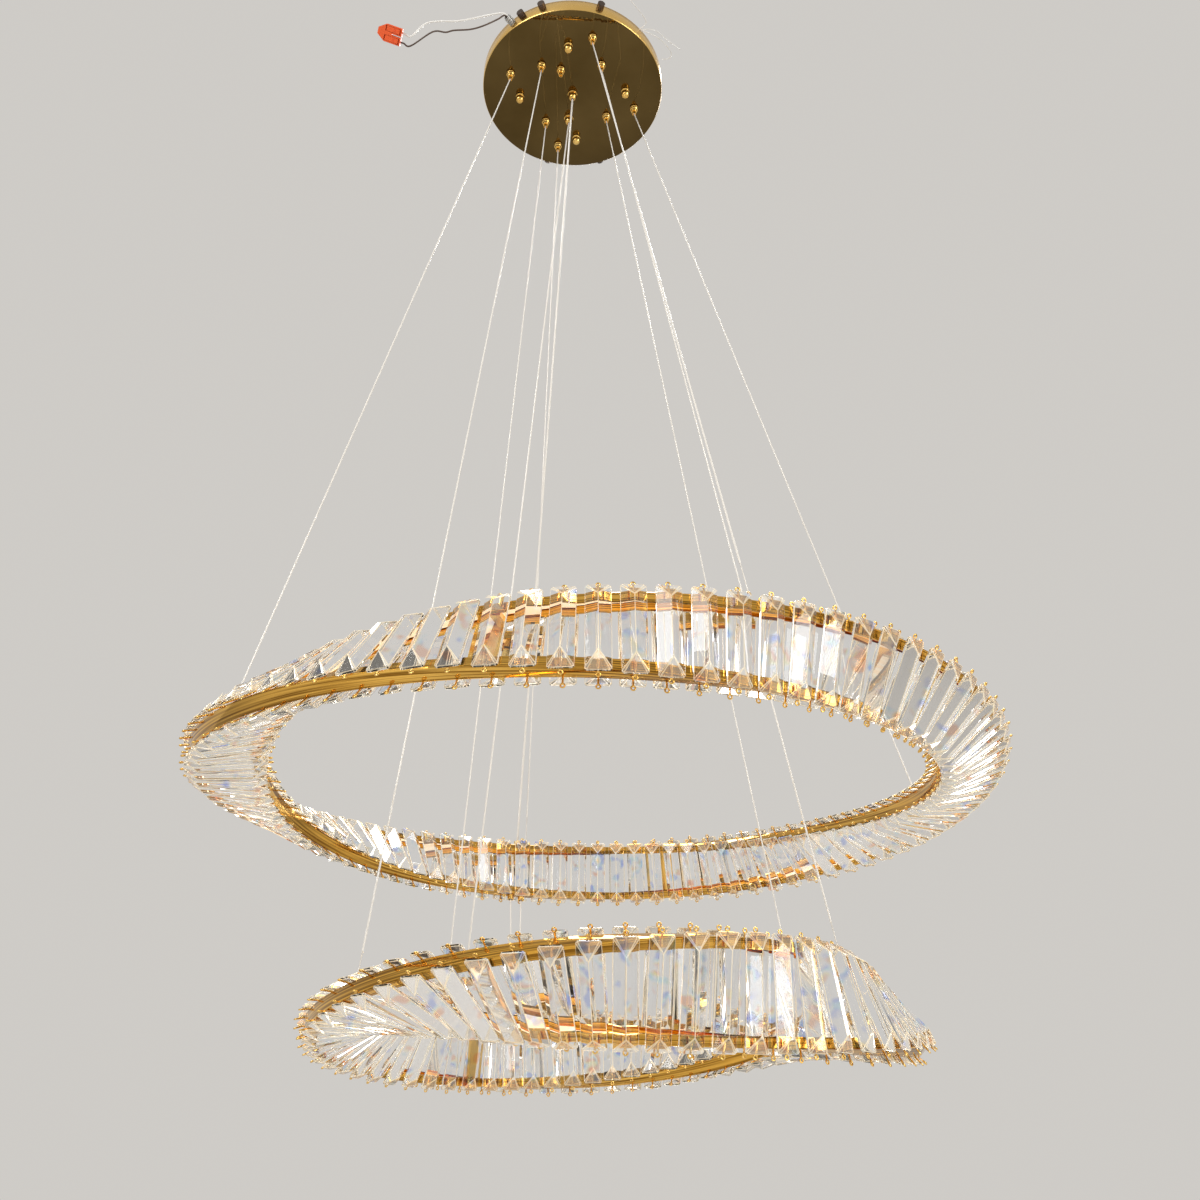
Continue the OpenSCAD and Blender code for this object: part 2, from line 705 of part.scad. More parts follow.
module lower_strip_a() {
    color("lightyellow") light_strip(lower_ring, 1);
}

module lower_strip_b() {
    color("lightyellow") light_strip(lower_ring, -1);
}

module upper_spreaders() {
    color("goldenrod") spreaders(upper_ring, upper_gap_angle, 6);
}

module lower_spreaders() {
    color("goldenrod") spreaders(lower_ring, lower_gap_angle, 4);
}

module upper_crystals_front() {
    color("lightcyan") crystals(upper_ring, upper_gap_angle, upper_crystal_l, 1);
}

module upper_crystals_back() {
    color("lightcyan") crystals(upper_ring, upper_gap_angle, upper_crystal_l, -1);
}

module lower_crystals_front() {
    color("lightcyan") crystals(lower_ring, lower_gap_angle, lower_crystal_l, 1);
}

module lower_crystals_back() {
    color("lightcyan") crystals(lower_ring, lower_gap_angle, lower_crystal_l, -1);
}

module upper_eyelets_front() {
    color("gold") eyelets(upper_ring, upper_gap_angle, upper_crystal_l, 1);
}

module upper_eyelets_back() {
    color("gold") eyelets(upper_ring, upper_gap_angle, upper_crystal_l, -1);
}

module lower_eyelets_front() {
    color("gold") eyelets(lower_ring, lower_gap_angle, lower_crystal_l, 1);
}

module lower_eyelets_back() {
    color("gold") eyelets(lower_ring, lower_gap_angle, lower_crystal_l, -1);
}

module upper_wire_posts() {
    color("gold") wire_posts(upper_ring, upper_flat_ends, upper_top_ends);
}

module lower_wire_posts() {
    color("gold") wire_posts(lower_ring, lower_flat_ends, lower_top_ends);
}

module upper_cable_glands() {
    color("gold") entries(upper_ring, [upper_cable_end, for (a = link_starts) [a, -1, link_room]]);
}

module lower_cable_glands() {
    color("gold") entries(lower_ring, [lower_cable_end, for (a = link_ends) [a, -1, link_room]]);
}

ceiling_bracket();
bracket_studs();
canopy_pan();
side_screws();
cap_nuts();
gripper_bodies();
gripper_locknuts();
gripper_nozzle(0);  // gripper_nozzle_1
gripper_nozzle(1);  // gripper_nozzle_2
gripper_nozzle(2);  // gripper_nozzle_3
gripper_nozzle(3);  // gripper_nozzle_4
gripper_nozzle(4);  // gripper_nozzle_5
gripper_nozzle(5);  // gripper_nozzle_6
gripper_nozzle(6);  // gripper_nozzle_7
gripper_nozzle(7);  // gripper_nozzle_8
gripper_nozzle(8);  // gripper_nozzle_9
cable_glands();
gland_locknuts();
led_driver_upper();
led_driver_lower();
terminal_block();
strain_relief();
clamp_knob();
lead_white();
lead_brown();
wire_connector();
connector_lever(1);  // connector_lever_1
connector_lever(-1);  // connector_lever_2
wire_tail_1();
wire_tail_2();
wire_tail_3();
upper_wires();
lower_wires();
upper_cable();
lower_cable();
ring_link_leads();
upper_rail_a();
upper_rail_b();
upper_strip_a();
upper_strip_b();
upper_spreaders();
upper_crystals_front();
upper_crystals_back();
upper_eyelets_front();
upper_eyelets_back();
upper_wire_posts();
upper_cable_glands();
lower_rail_a();
lower_rail_b();
lower_strip_a();
lower_strip_b();
lower_spreaders();
lower_crystals_front();
lower_crystals_back();
lower_eyelets_front();
lower_eyelets_back();
lower_wire_posts();
lower_cable_glands();
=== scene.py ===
from math import cos, pi, radians, sin

import bmesh
import bpy
from mathutils import Matrix, Vector


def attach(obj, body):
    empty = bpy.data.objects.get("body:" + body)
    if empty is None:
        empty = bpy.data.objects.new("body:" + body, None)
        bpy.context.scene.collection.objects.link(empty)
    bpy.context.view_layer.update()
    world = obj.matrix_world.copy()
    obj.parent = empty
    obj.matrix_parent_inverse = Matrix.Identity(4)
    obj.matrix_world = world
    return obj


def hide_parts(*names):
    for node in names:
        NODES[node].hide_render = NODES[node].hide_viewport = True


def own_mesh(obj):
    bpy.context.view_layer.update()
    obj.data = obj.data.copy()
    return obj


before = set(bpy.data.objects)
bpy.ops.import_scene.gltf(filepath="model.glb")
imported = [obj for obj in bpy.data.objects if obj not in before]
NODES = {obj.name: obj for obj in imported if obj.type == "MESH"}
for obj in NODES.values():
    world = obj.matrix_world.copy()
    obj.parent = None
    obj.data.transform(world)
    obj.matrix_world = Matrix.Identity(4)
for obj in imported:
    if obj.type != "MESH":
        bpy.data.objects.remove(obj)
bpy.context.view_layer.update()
MM = 0.001


# Camera, solved from the photograph: place in metres, angles in degrees

SENSOR_MM = 36.0
FOCAL_PX, PHOTO_PX = 1093.1, 1200.0
CAMERA_AT = (0.0386, -1.0764, -1.4123)
CAMERA_RISE, CAMERA_ROLL = 27.42, -0.12


def aim_camera():
    data = bpy.data.cameras.new("photo_camera")
    data.sensor_width = SENSOR_MM
    data.lens = SENSOR_MM * FOCAL_PX / PHOTO_PX
    data.clip_end = 60.0
    camera = bpy.data.objects.new("photo_camera", data)
    bpy.context.scene.collection.objects.link(camera)
    rise = Matrix.Rotation(radians(90 + CAMERA_RISE), 4, "X")
    roll = Matrix.Rotation(radians(CAMERA_ROLL), 4, "Z")
    camera.matrix_world = Matrix.Translation(CAMERA_AT) @ rise @ roll
    bpy.context.scene.camera = camera


aim_camera()


# Sizes in millimetres and degrees, the same as in the part

CANOPY_R, FACE_Z, SHEET_T = 130.0, -20.0, 1.2
UPPER = {"at": (36, 0, -1070), "r": 362.0, "w": 67.0, "twist": 189, "sense": -1,
         "count": 90, "gap": 16.2, "crystal": 74.0}
LOWER = {"at": (54, 32, -1294), "r": 250.0, "w": 80.0, "twist": 149, "sense": 1,
         "count": 64, "gap": 37.25, "crystal": 87.0}
RAIL_W, RAIL_D, RAIL_T = 14.0, 9.0, 1.5
BAR_W, BAR_EDGE, BAR_T, BAR_POINT = 19.6, 2.2, 10.0, 13.0
SEAT, EYELET_T = 7.3, 1.8
GRIPPERS = [(94, 15.8), (94, 105), (94, 200.6), (94, 288.6),
            (63, 38.1), (63, 130.8), (63, 227), (63, 312.2), (42, 248)]
STUDS = [(77, a) for a in (-3, 87, 177, 267)]
GLANDS = [(0, 0), (42, 99)]
WIRE_TOP, CABLE_TOP = -32.0, -31.0
POST_REACH = 8.4

# Finer sizes that only the dressed pieces have

RAIL_STATIONS, RAIL_ROUND, RAIL_CROWN = 432, 0.7, 0.4
BAR_CORNER, BAR_BEVEL = 1.5, 0.45
LOOP_R, LOOP_WIRE_R, LOOP_PAST_BAR = 1.6, 0.65, 2.0
LOOP_TURNS, LOOP_SIDES = 16, 6
SHANK_R, SHANK_COLLAR_R = 0.85, 0.88
CORD_STEPS = 6
CANOPY_HOLE_R = 4.05


def polar(r, a, z):
    return Vector((r * cos(radians(a)), r * sin(radians(a)), z))


def on_band(ring, a, u, v):
    """The point at angle a of a twisted band, u across it and v out of its face."""
    p = radians(ring["twist"] + ring["sense"] * a)
    r = ring["r"] + u * cos(p) - v * sin(p)
    return Vector(ring["at"]) + polar(r, a, u * sin(p) + v * cos(p))


def band_frame(ring, a):
    """Turns a small part's axes to the band at angle a: X across it, Z out of its face. In metres."""
    p = radians(ring["twist"] + ring["sense"] * a)
    place = Matrix.Translation(Vector(ring["at"]) * MM) @ Matrix.Rotation(radians(a), 4, "Z")
    return place @ Matrix.Translation((ring["r"] * MM, 0, 0)) @ Matrix.Rotation(-p, 4, "Y")


# Mesh helpers, all in millimetres

def piece(name, points, faces, body, finish, nodes, smooth=True):
    """A mesh object that rides on a body and stands for the part's own nodes."""
    mesh = bpy.data.meshes.new(name)
    mesh.from_pydata([Vector(p) * MM for p in points], [], faces)
    mesh.validate()
    mesh.polygons.foreach_set("use_smooth", [smooth] * len(mesh.polygons))
    for f in finish if isinstance(finish, list) else [finish]:
        mesh.materials.append(f)
    obj = bpy.data.objects.new(name, mesh)
    bpy.context.scene.collection.objects.link(obj)
    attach(obj, body)
    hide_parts(*nodes)
    return obj


def keep_sharp(obj, angle):
    obj.data.set_sharp_from_angle(angle=radians(angle))


def lathe(profile, at, turns):
    """Points and faces of a profile of (radius, height) turned about a vertical axis."""
    place = Matrix.Translation(at)
    points, faces = [], []
    for r, z in profile:
        for k in range(turns):
            points.append(place @ Vector((r * cos(2 * pi * k / turns), r * sin(2 * pi * k / turns), z)))
    for i in range(len(profile) - 1):
        for k in range(turns):
            a, b = i * turns + k, i * turns + (k + 1) % turns
            faces.append((a, b, b + turns, a + turns))
    return points, faces


def join(parts):
    points, faces = [], []
    for p, f in parts:
        base = len(points)
        points += list(p)
        faces += [tuple(i + base for i in q) for q in f]
    return points, faces


def tube(path, radii, sides=12):
    """A round rod through path with a radius at each point and closed ends."""
    points, faces = [], []
    n = len(path)
    for i, p in enumerate(path):
        run = (path[min(i + 1, n - 1)] - path[max(i - 1, 0)]).normalized()
        side = run.cross(Vector((0.1, 1, 0.2))).normalized()
        other = run.cross(side)
        for k in range(sides):
            t = 2 * pi * k / sides
            points.append(p + radii[i] * (cos(t) * side + sin(t) * other))
    for i in range(n - 1):
        for k in range(sides):
            a, b = i * sides + k, i * sides + (k + 1) % sides
            faces.append((a, b, b + sides, a + sides))
    faces.append(tuple(range(sides))[::-1])
    faces.append(tuple(range((n - 1) * sides, n * sides)))
    return points, faces


def band_sweep(ring, outline, stations):
    """A closed outline of (across, out of the face) points swept once round a twisted band."""
    n = len(outline)
    points = [on_band(ring, i * 360 / stations, u, v) for i in range(stations) for u, v in outline]
    faces = []
    for i in range(stations):
        for j in range(n):
            a, b, k = i * n, ((i + 1) % stations) * n, (j + 1) % n
            faces.append((a + j, b + j, b + k, a + k))
    return points, faces


def spread(ring, unit, faces, face):
    """Copies of one small mesh at every crystal of a face of a band."""
    flip = Matrix.Diagonal((1, 1, face, 1))
    points, out = [], []
    pitch = 360 / ring["count"]
    for i in range(ring["count"]):
        m = band_frame(ring, ring["gap"] + (i + 0.5) * pitch) @ flip
        base = len(points)
        points += [(m @ (Vector(p) * MM)) / MM for p in unit]
        out += [tuple(base + q for q in (f if face > 0 else f[::-1])) for f in faces]
    return points, out


# Shader helpers

COLOR, FLOAT = "NodeSocketColor", "NodeSocketFloat"


def new_group(name, inputs, outputs):
    """A shader node group with named sockets. Returns it with its input and output nodes."""
    group = bpy.data.node_groups.new(name, "ShaderNodeTree")
    for label, kind, value in inputs:
        socket = group.interface.new_socket(label, in_out="INPUT", socket_type=kind)
        if value is not None:
            socket.default_value = value
    for label, kind in outputs:
        group.interface.new_socket(label, in_out="OUTPUT", socket_type=kind)
    return group, group.nodes.new("NodeGroupInput"), group.nodes.new("NodeGroupOutput")


def add(tree, kind, **settings):
    node = tree.nodes.new(kind)
    for key, value in settings.items():
        setattr(node, key, value)
    return node


def feed(tree, node, values):
    """Fills a node's inputs, by name or number, each from another node's output or with a plain value."""
    for label, value in values.items():
        if isinstance(value, bpy.types.NodeSocket):
            tree.links.new(value, node.inputs[label])
        else:
            node.inputs[label].default_value = value


def noise(tree, coordinates, scale, detail=3.0, rough=0.5):
    node = add(tree, "ShaderNodeTexNoise")
    feed(tree, node, {"Vector": coordinates, "Scale": scale, "Detail": detail, "Roughness": rough})
    return node.outputs["Fac"]


def remap(tree, value, low, high, to_low=0.0, to_high=1.0):
    node = add(tree, "ShaderNodeMapRange")
    feed(tree, node, {"Value": value, "From Min": low, "From Max": high, "To Min": to_low, "To Max": to_high})
    return node.outputs["Result"]


def blend(tree, factor, a, b):
    node = add(tree, "ShaderNodeMix", data_type="RGBA")
    feed(tree, node, {"Factor": factor, "A": a, "B": b})
    return node.outputs["Result"]


def calculate(tree, operation, a, b):
    node = add(tree, "ShaderNodeMath", operation=operation)
    feed(tree, node, {0: a, 1: b})
    return node.outputs[0]


def ramp(tree, value, stops):
    """A colour ramp through a row of (place, colour) stops."""
    node = add(tree, "ShaderNodeValToRGB")
    row = node.color_ramp.elements
    for stop, (at, tone) in zip(row, (stops[0], stops[-1])):
        stop.position, stop.color = at, (*tone, 1)
    for at, tone in stops[1:-1]:
        row.new(at).color = (*tone, 1)
    feed(tree, node, {"Fac": value})
    return node.outputs["Color"]


def mix_shaders(tree, factor, first, second):
    """Blends two shaders and makes the result the material's surface."""
    node = add(tree, "ShaderNodeMixShader")
    feed(tree, node, {"Fac": factor, 1: first.outputs["BSDF"], 2: second.outputs["BSDF"]})
    tree.links.new(node.outputs["Shader"], tree.nodes["Material Output"].inputs["Surface"])


# Effects that several finishes share

def plated_group():
    """Plated metal: a slow drift between two tones, and fine polishing marks for roughness and bump."""
    group, start, end = new_group(
        "plated_tone",
        [("Tone", COLOR, None), ("Deep Tone", COLOR, None), ("Drift Scale", FLOAT, 9.0),
         ("Smooth", FLOAT, 0.08), ("Rough", FLOAT, 0.2)],
        [("Color", COLOR), ("Roughness", FLOAT), ("Height", FLOAT)])
    given = start.outputs
    place = add(group, "ShaderNodeTexCoord").outputs["Object"]
    drift = noise(group, place, given["Drift Scale"], detail=4.0)
    marks = noise(group, place, 160.0, detail=5.0, rough=0.65)
    feed(group, end, {
        "Color": blend(group, remap(group, drift, low=0.35, high=0.7), given["Tone"], given["Deep Tone"]),
        "Roughness": remap(group, marks, 0.0, 1.0, given["Smooth"], given["Rough"]),
        "Height": marks})
    return group


def painted_fire_group():
    """Cut crystal: nearly clear, with small cool and warm patches of painted light in its colour, which stand
    for light that splits into colours.
    """
    group, start, end = new_group(
        "painted_prism_light", [("Clear", COLOR, None), ("Amount", FLOAT, 0.5), ("Patch Scale", FLOAT, 22.0)],
        [("Color", COLOR)])
    given = start.outputs
    place = add(group, "ShaderNodeTexCoord").outputs["Object"]
    patches = remap(group, noise(group, place, given["Patch Scale"], detail=1.0), low=0.6, high=0.7)
    moved = add(group, "ShaderNodeMapping")
    feed(group, moved, {"Vector": place, "Location": (3.1, 1.7, 0.4)})
    # Painted light: the colours of split light, put into the crystal's colour
    painted_split_light = ramp(group, noise(group, moved.outputs["Vector"], 75.0, detail=0.0), [
        (0.36, (0.16, 0.3, 1.0)), (0.45, (0.45, 0.85, 1.0)), (0.52, (0.95, 0.97, 1.0)),
        (0.58, (1.0, 0.9, 0.35)), (0.66, (1.0, 0.35, 0.12))])
    share = calculate(group, "MULTIPLY", patches, given["Amount"])
    feed(group, end, {"Color": blend(group, share, given["Clear"], painted_split_light)})
    return group


def mottle_group():
    """Moulded plastic and sheathing: a faint mottle in colour, roughness and height."""
    group, start, end = new_group(
        "moulded_mottle",
        [("Colour", COLOR, None), ("Shade", COLOR, None), ("Grain Scale", FLOAT, 300.0),
         ("Smooth", FLOAT, 0.3), ("Rough", FLOAT, 0.5)],
        [("Color", COLOR), ("Roughness", FLOAT), ("Height", FLOAT)])
    given = start.outputs
    place = add(group, "ShaderNodeTexCoord").outputs["Object"]
    grain = noise(group, place, given["Grain Scale"])
    feed(group, end, {
        "Color": blend(group, grain, given["Colour"], given["Shade"]),
        "Roughness": remap(group, grain, 0.0, 1.0, given["Smooth"], given["Rough"]),
        "Height": grain})
    return group


PLATED, PAINTED_FIRE, MOTTLE = plated_group(), painted_fire_group(), mottle_group()


# Finishes

def new_material(name):
    material = bpy.data.materials.new(name)
    material.use_nodes = True
    tree = material.node_tree
    return material, tree, tree.nodes["Principled BSDF"]


def bump_from(tree, height, shader, strength, distance, edge=None):
    """Small relief from a height, on edges that look rounded by edge metres where it is given."""
    bump = add(tree, "ShaderNodeBump")
    feed(tree, bump, {"Height": height, "Strength": strength, "Distance": distance})
    if edge:
        bevel = add(tree, "ShaderNodeBevel", samples=4)
        feed(tree, bevel, {"Radius": edge})
        feed(tree, bump, {"Normal": bevel.outputs["Normal"]})
    feed(tree, shader, {"Normal": bump.outputs["Normal"]})


def plated_tones(tree, tone, deep, smooth, rough):
    tones = add(tree, "ShaderNodeGroup", node_tree=PLATED)
    feed(tree, tones, {"Tone": (*tone, 1), "Deep Tone": (*deep, 1), "Smooth": smooth, "Rough": rough})
    return tones.outputs


def plated(name, tone, deep, smooth, rough, edge=None, bump=0.03):
    material, tree, shader = new_material(name)
    tones = plated_tones(tree, tone, deep, smooth, rough)
    feed(tree, shader, {"Base Color": tones["Color"], "Roughness": tones["Roughness"], "Metallic": 1.0})
    bump_from(tree, tones["Height"], shader, strength=bump, distance=0.0002, edge=edge)
    return material


def moulded(name, colour, shade, smooth, rough, grain, coat=0.0, edge=None):
    material, tree, shader = new_material(name)
    tones = add(tree, "ShaderNodeGroup", node_tree=MOTTLE)
    feed(tree, tones, {"Colour": (*colour, 1), "Shade": (*shade, 1), "Grain Scale": grain,
                       "Smooth": smooth, "Rough": rough})
    feed(tree, shader, {"Base Color": tones.outputs["Color"], "Roughness": tones.outputs["Roughness"],
                        "Coat Weight": coat})
    bump_from(tree, tones.outputs["Height"], shader, strength=0.15, distance=0.0001, edge=edge)
    return material


def clear_crystal(name, tone, roughness, transmission, glow):
    """Cut crystal, which throws only a faint shadow. Its glow is painted light: an emission that stands for
    light of the strips caught in it, though the crystal is no lamp.
    """
    material, tree, shader = new_material(name)
    # Painted light: patches of split light's colours in the crystal's colour
    patches = add(tree, "ShaderNodeGroup", node_tree=PAINTED_FIRE)
    feed(tree, patches, {"Clear": (*tone, 1), "Amount": 0.7, "Patch Scale": 60.0})
    feed(tree, shader, {
        "Base Color": patches.outputs["Color"], "Roughness": roughness, "IOR": 1.42,
        "Transmission Weight": transmission, "Emission Color": (1.0, 0.93, 0.82, 1),
        "Emission Strength": glow})
    light = add(tree, "ShaderNodeLightPath")
    passing = add(tree, "ShaderNodeBsdfTransparent")
    feed(tree, passing, {"Color": (0.86, 0.87, 0.88, 1)})
    mix_shaders(tree, light.outputs["Is Shadow Ray"], shader, passing)
    return material


def drawn_gold():
    """Polished gold of the drawn rails, with lighter and darker streaks that run along them. The darker streaks
    are painted reflections, a dark tone put into the gold's colour.
    """
    material, tree, shader = new_material("polished_gold")
    along = add(tree, "ShaderNodeUVMap", uv_map="along")
    stretch = add(tree, "ShaderNodeMapping")
    feed(tree, stretch, {"Vector": along.outputs["UV"], "Scale": (1.0, 0.012, 1.0)})
    reflection_streaks = noise(tree, stretch.outputs["Vector"], 0.55, detail=2.0, rough=0.4)
    bright = remap(tree, reflection_streaks, low=0.38, high=0.62)
    tones = plated_tones(tree, (1.0, 0.61, 0.14), (0.84, 0.45, 0.07), smooth=0.05, rough=0.12)
    # Painted reflection: a dark tone in the gold's colour, in streaks along the rail
    painted_dark_reflection = (0.27, 0.125, 0.015, 1)
    feed(tree, shader, {"Base Color": blend(tree, bright, painted_dark_reflection, tones["Color"]),
                        "Roughness": tones["Roughness"], "Metallic": 1.0})
    bump_from(tree, tones["Height"], shader, strength=0.03, distance=0.0002)
    return material


def strip_glow():
    """The light strip: pale chips in a warmer glowing band."""
    material, tree, shader = new_material("glowing_strip")
    chips = add(tree, "ShaderNodeTexVoronoi")
    feed(tree, chips, {"Vector": add(tree, "ShaderNodeTexCoord").outputs["Object"], "Scale": 110.0})
    dots = remap(tree, chips.outputs["Distance"], low=0.15, high=0.55, to_low=1.0, to_high=0.35)
    tone = blend(tree, dots, (1.0, 0.72, 0.4, 1), (1.0, 0.9, 0.72, 1))
    feed(tree, shader, {"Base Color": tone, "Emission Color": tone, "Emission Strength": 0.7, "Roughness": 0.5})
    return material


# Plated: two tones and the range of roughness. Moulded: two tones, the range of roughness and the grain.
GOLD = drawn_gold()
GOLD_SMALL = plated("gold_fittings", (1.0, 0.68, 0.22), (0.88, 0.53, 0.13), 0.1, 0.22, edge=0.0003)
# The canopy's polished gold face gets a dark bronze tone: a painted dark reflection
FACE_PAINTED_DARK = plated("canopy_face_painted_dark", (0.15, 0.1, 0.036), (0.1, 0.064, 0.02), 0.015, 0.035, bump=0.006)
WALL_GOLD = plated("canopy_wall", (0.86, 0.57, 0.19), (0.78, 0.49, 0.14), 0.2, 0.32)
ZINC = plated("zinc_plate", (0.62, 0.62, 0.6), (0.5, 0.5, 0.49), 0.25, 0.45, edge=0.0003)
DARK_KNOB = plated("dark_bronze", (0.14, 0.105, 0.085), (0.08, 0.06, 0.05), 0.25, 0.45, edge=0.0003)
SLEEVE = moulded("wire_sleeve", (0.86, 0.83, 0.78), (0.74, 0.7, 0.63), 0.12, 0.25, 500.0, coat=0.5)
WHITE_SHEATH = moulded("white_sheath", (0.86, 0.85, 0.82), (0.78, 0.76, 0.72), 0.25, 0.4, 400.0)
BROWN_SHEATH = moulded("brown_sheath", (0.12, 0.08, 0.06), (0.07, 0.045, 0.035), 0.25, 0.4, 400.0)
ORANGE = moulded("orange_housing", (0.86, 0.12, 0.02), (0.78, 0.09, 0.015), 0.45, 0.6, 500.0, edge=0.0005)
CASE_WHITE = moulded("white_case", (0.8, 0.8, 0.77), (0.74, 0.74, 0.7), 0.4, 0.6, 600.0, edge=0.0006)
CRYSTAL = clear_crystal("cut_crystal", (0.97, 0.975, 0.985), roughness=0.015, transmission=1.0, glow=0.0)
# The bevels and hips are tinted warm and glow: painted light of the strips caught in the crystal's edges
GLOWING_CRYSTAL_EDGE = clear_crystal("crystal_edges_painted_glow", (1.0, 0.86, 0.6), roughness=0.25, transmission=0.6, glow=0.12)
GLOWING_CRYSTAL_HIP = clear_crystal("crystal_hips_painted_glow", (0.99, 0.95, 0.88), roughness=0.06, transmission=0.88, glow=0.04)
STRIP = strip_glow()


def dress(names, finish):
    """Gives the part's own solids a finish."""
    for name in names:
        mesh = NODES[name].data
        mesh.materials.clear()
        mesh.materials.append(finish)


dress(["ceiling_bracket", "bracket_studs", "strain_relief"], ZINC)
dress(["gripper_locknuts", "gland_locknuts", "upper_wire_posts", "lower_wire_posts",
       "upper_cable_glands", "lower_cable_glands", "upper_spreaders", "lower_spreaders"], GOLD_SMALL)
dress([f"gripper_nozzle_{i + 1}" for i in range(len(GRIPPERS))], GOLD_SMALL)
dress(["side_screws", "clamp_knob"], DARK_KNOB)
dress(["led_driver_upper", "led_driver_lower", "terminal_block"], CASE_WHITE)
dress(["wire_connector", "connector_lever_1", "connector_lever_2"], ORANGE)
dress(["ring_link_leads"], SLEEVE)
dress(["upper_strip_a", "upper_strip_b", "lower_strip_a", "lower_strip_b"], STRIP)


# Free leads and loose wire ends, along the part's own routes

def spline(p, steps):
    """A smooth path through points p, with steps short runs from each to the next."""
    out = []
    for i in range(len(p) - 1):
        a, b, c, e = p[max(i - 1, 0)], p[i], p[i + 1], p[min(i + 2, len(p) - 1)]
        for k in range(steps):
            t = k / steps
            out.append(0.5 * (2 * b + (c - a) * t + (2 * a - 5 * b + 4 * c - e) * t * t
                              + (3 * b - a - 3 * c + e) * t ** 3))
    return out + [p[-1]]


def connector_point(x, y, z):
    turn = Matrix.Rotation(radians(145), 4, "X") @ Matrix.Rotation(radians(-18), 4, "Z")
    return Vector((-232, -101, -37)) + turn @ Vector((x, y, z))


def free_cord(name, route, diameter, finish, node, slot, **facts):
    path = [p * MM for p in spline([Vector(p) for p in route], CORD_STEPS)]
    curve = bpy.data.curves.new(name, "CURVE")
    curve.dimensions = "3D"
    curve.bevel_depth = diameter / 2 * MM
    curve.bevel_resolution = 4
    curve.use_fill_caps = True
    line = curve.splines.new("POLY")
    line.points.add(len(path) - 1)
    for point, at in zip(line.points, path):
        point.co = (*at, 1)
    curve.materials.append(finish)
    obj = bpy.data.objects.new(name, curve)
    bpy.context.scene.collection.objects.link(obj)
    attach(obj, "canopy")
    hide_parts(node)


CONNECTOR = [NODES["wire_connector"], NODES["connector_lever_1"], NODES["connector_lever_2"]]
free_cord("supply_lead_white", [
    polar(137, 232.55, -9), polar(146, 232.55, -9), (-101, -117, -9), (-131, -110, -8), (-157, -108, -12),
    (-179, -108, -12), (-200, -107, -16), connector_point(12, 5.9, -2), connector_point(3, 5.9, -2),
    connector_point(-5, 5.9, -2)], 2.2, WHITE_SHEATH, "lead_white", "white_sheath",
    far_end="connector", lay="hanging", with_pieces=CONNECTOR)
free_cord("supply_lead_brown", [
    polar(137, 231.45, -9), polar(146, 231.45, -9), (-101, -111, -13), (-122, -104, -17), (-139, -102, -21),
    (-161, -102, -23), (-172, -102, -27), (-190, -102, -26), connector_point(14, -5.9, -2),
    connector_point(4, -5.9, -2), connector_point(-5, -5.9, -2)], 2.2, BROWN_SHEATH, "lead_brown",
    "brown_sheath", far_end="connector", lay="hanging", with_pieces=CONNECTOR)
for number, route in enumerate([
        [polar(122, 317, -3.3), polar(132, 317, -3.3), (104, -100, -4), (98, -113, -5), (82, -133, -5)],
        [polar(122, 318, -3.3), polar(132, 318, -3.3), (117, -89, -5), (136, -74, -6), (154, -60, -6)],
        [polar(122, 319, -3.3), polar(132, 319, -3.3), (122, -77, -4), (137, -62, -5), (142, -52, -5),
         (138, -45, -5), (129, -44, -5)]], start=1):
    free_cord(f"loose_wire_{number}", route, 1.0, WHITE_SHEATH, f"wire_tail_{number}", "white_sheath",
              far_end="bare", stiffness="stiff")


# Suspension wires and cables, each from the canopy down to its ring

def hang(name, top, end, shape, node):
    """A taut wire from the canopy to a ring. shape gives (distance before its end, radius) pairs."""
    run = (end - top).normalized()
    path = [top] + [end - before * run for before, _ in shape]
    radii = [shape[0][1]] + [r for _, r in shape]
    points, faces = tube(path, radii)
    obj = piece(name, points, faces, "canopy", SLEEVE, nodes=[node])
    keep_sharp(obj, angle=50)
    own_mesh(obj)


def flat_end(ring, a, u, side):
    """Where a wire ends over a flat place of a band, between two crystals."""
    return on_band(ring, a, u, side * (1 + POST_REACH))


def top_end(ring, a, side, reach=POST_REACH):
    """Where a wire or cable ends over the upper rail of a band that stands up."""
    return on_band(ring, a, side * (ring["w"] / 2 + reach), 0)


SLEEVED_WIRE = [(30.5, 0.9), (30, 0.9), (29.6, 0.5), (0, 0.5)]
UPPER_CABLE_R, LOWER_CABLE_R = 1.4, 1.1
UPPER_ENDS = [flat_end(UPPER, UPPER["gap"], -10, -1), top_end(UPPER, 105.2, 1),
              flat_end(UPPER, UPPER["gap"] + 180, 11, 1), top_end(UPPER, 288, -1)]
LOWER_ENDS = [flat_end(LOWER, LOWER["gap"], -6, -1), top_end(LOWER, 142.7, -1),
              flat_end(LOWER, LOWER["gap"] + 180, 24, 1), top_end(LOWER, 327.7, 1)]
for i in range(4):
    hang(f"upper_wire_{i + 1}", polar(*GRIPPERS[i], WIRE_TOP), UPPER_ENDS[i],
         SLEEVED_WIRE, "upper_wires")
    hang(f"lower_wire_{i + 1}", polar(*GRIPPERS[i + 4], WIRE_TOP), LOWER_ENDS[i],
         SLEEVED_WIRE, "lower_wires")
# The upper cable ends just inside its gland, so that it clears the rim when the ring is raised
hang("upper_power_cable", polar(*GLANDS[0], CABLE_TOP), top_end(UPPER, 107, 1, reach=5.7),
     [(20, UPPER_CABLE_R), (0, UPPER_CABLE_R)], "upper_cable")
hang("lower_power_cable", polar(*GLANDS[1], CABLE_TOP), top_end(LOWER, 134.9, -1, reach=4),
     [(20, LOWER_CABLE_R), (0, LOWER_CABLE_R)], "lower_cable")


# Twisted bands: rails, crystals and their loops

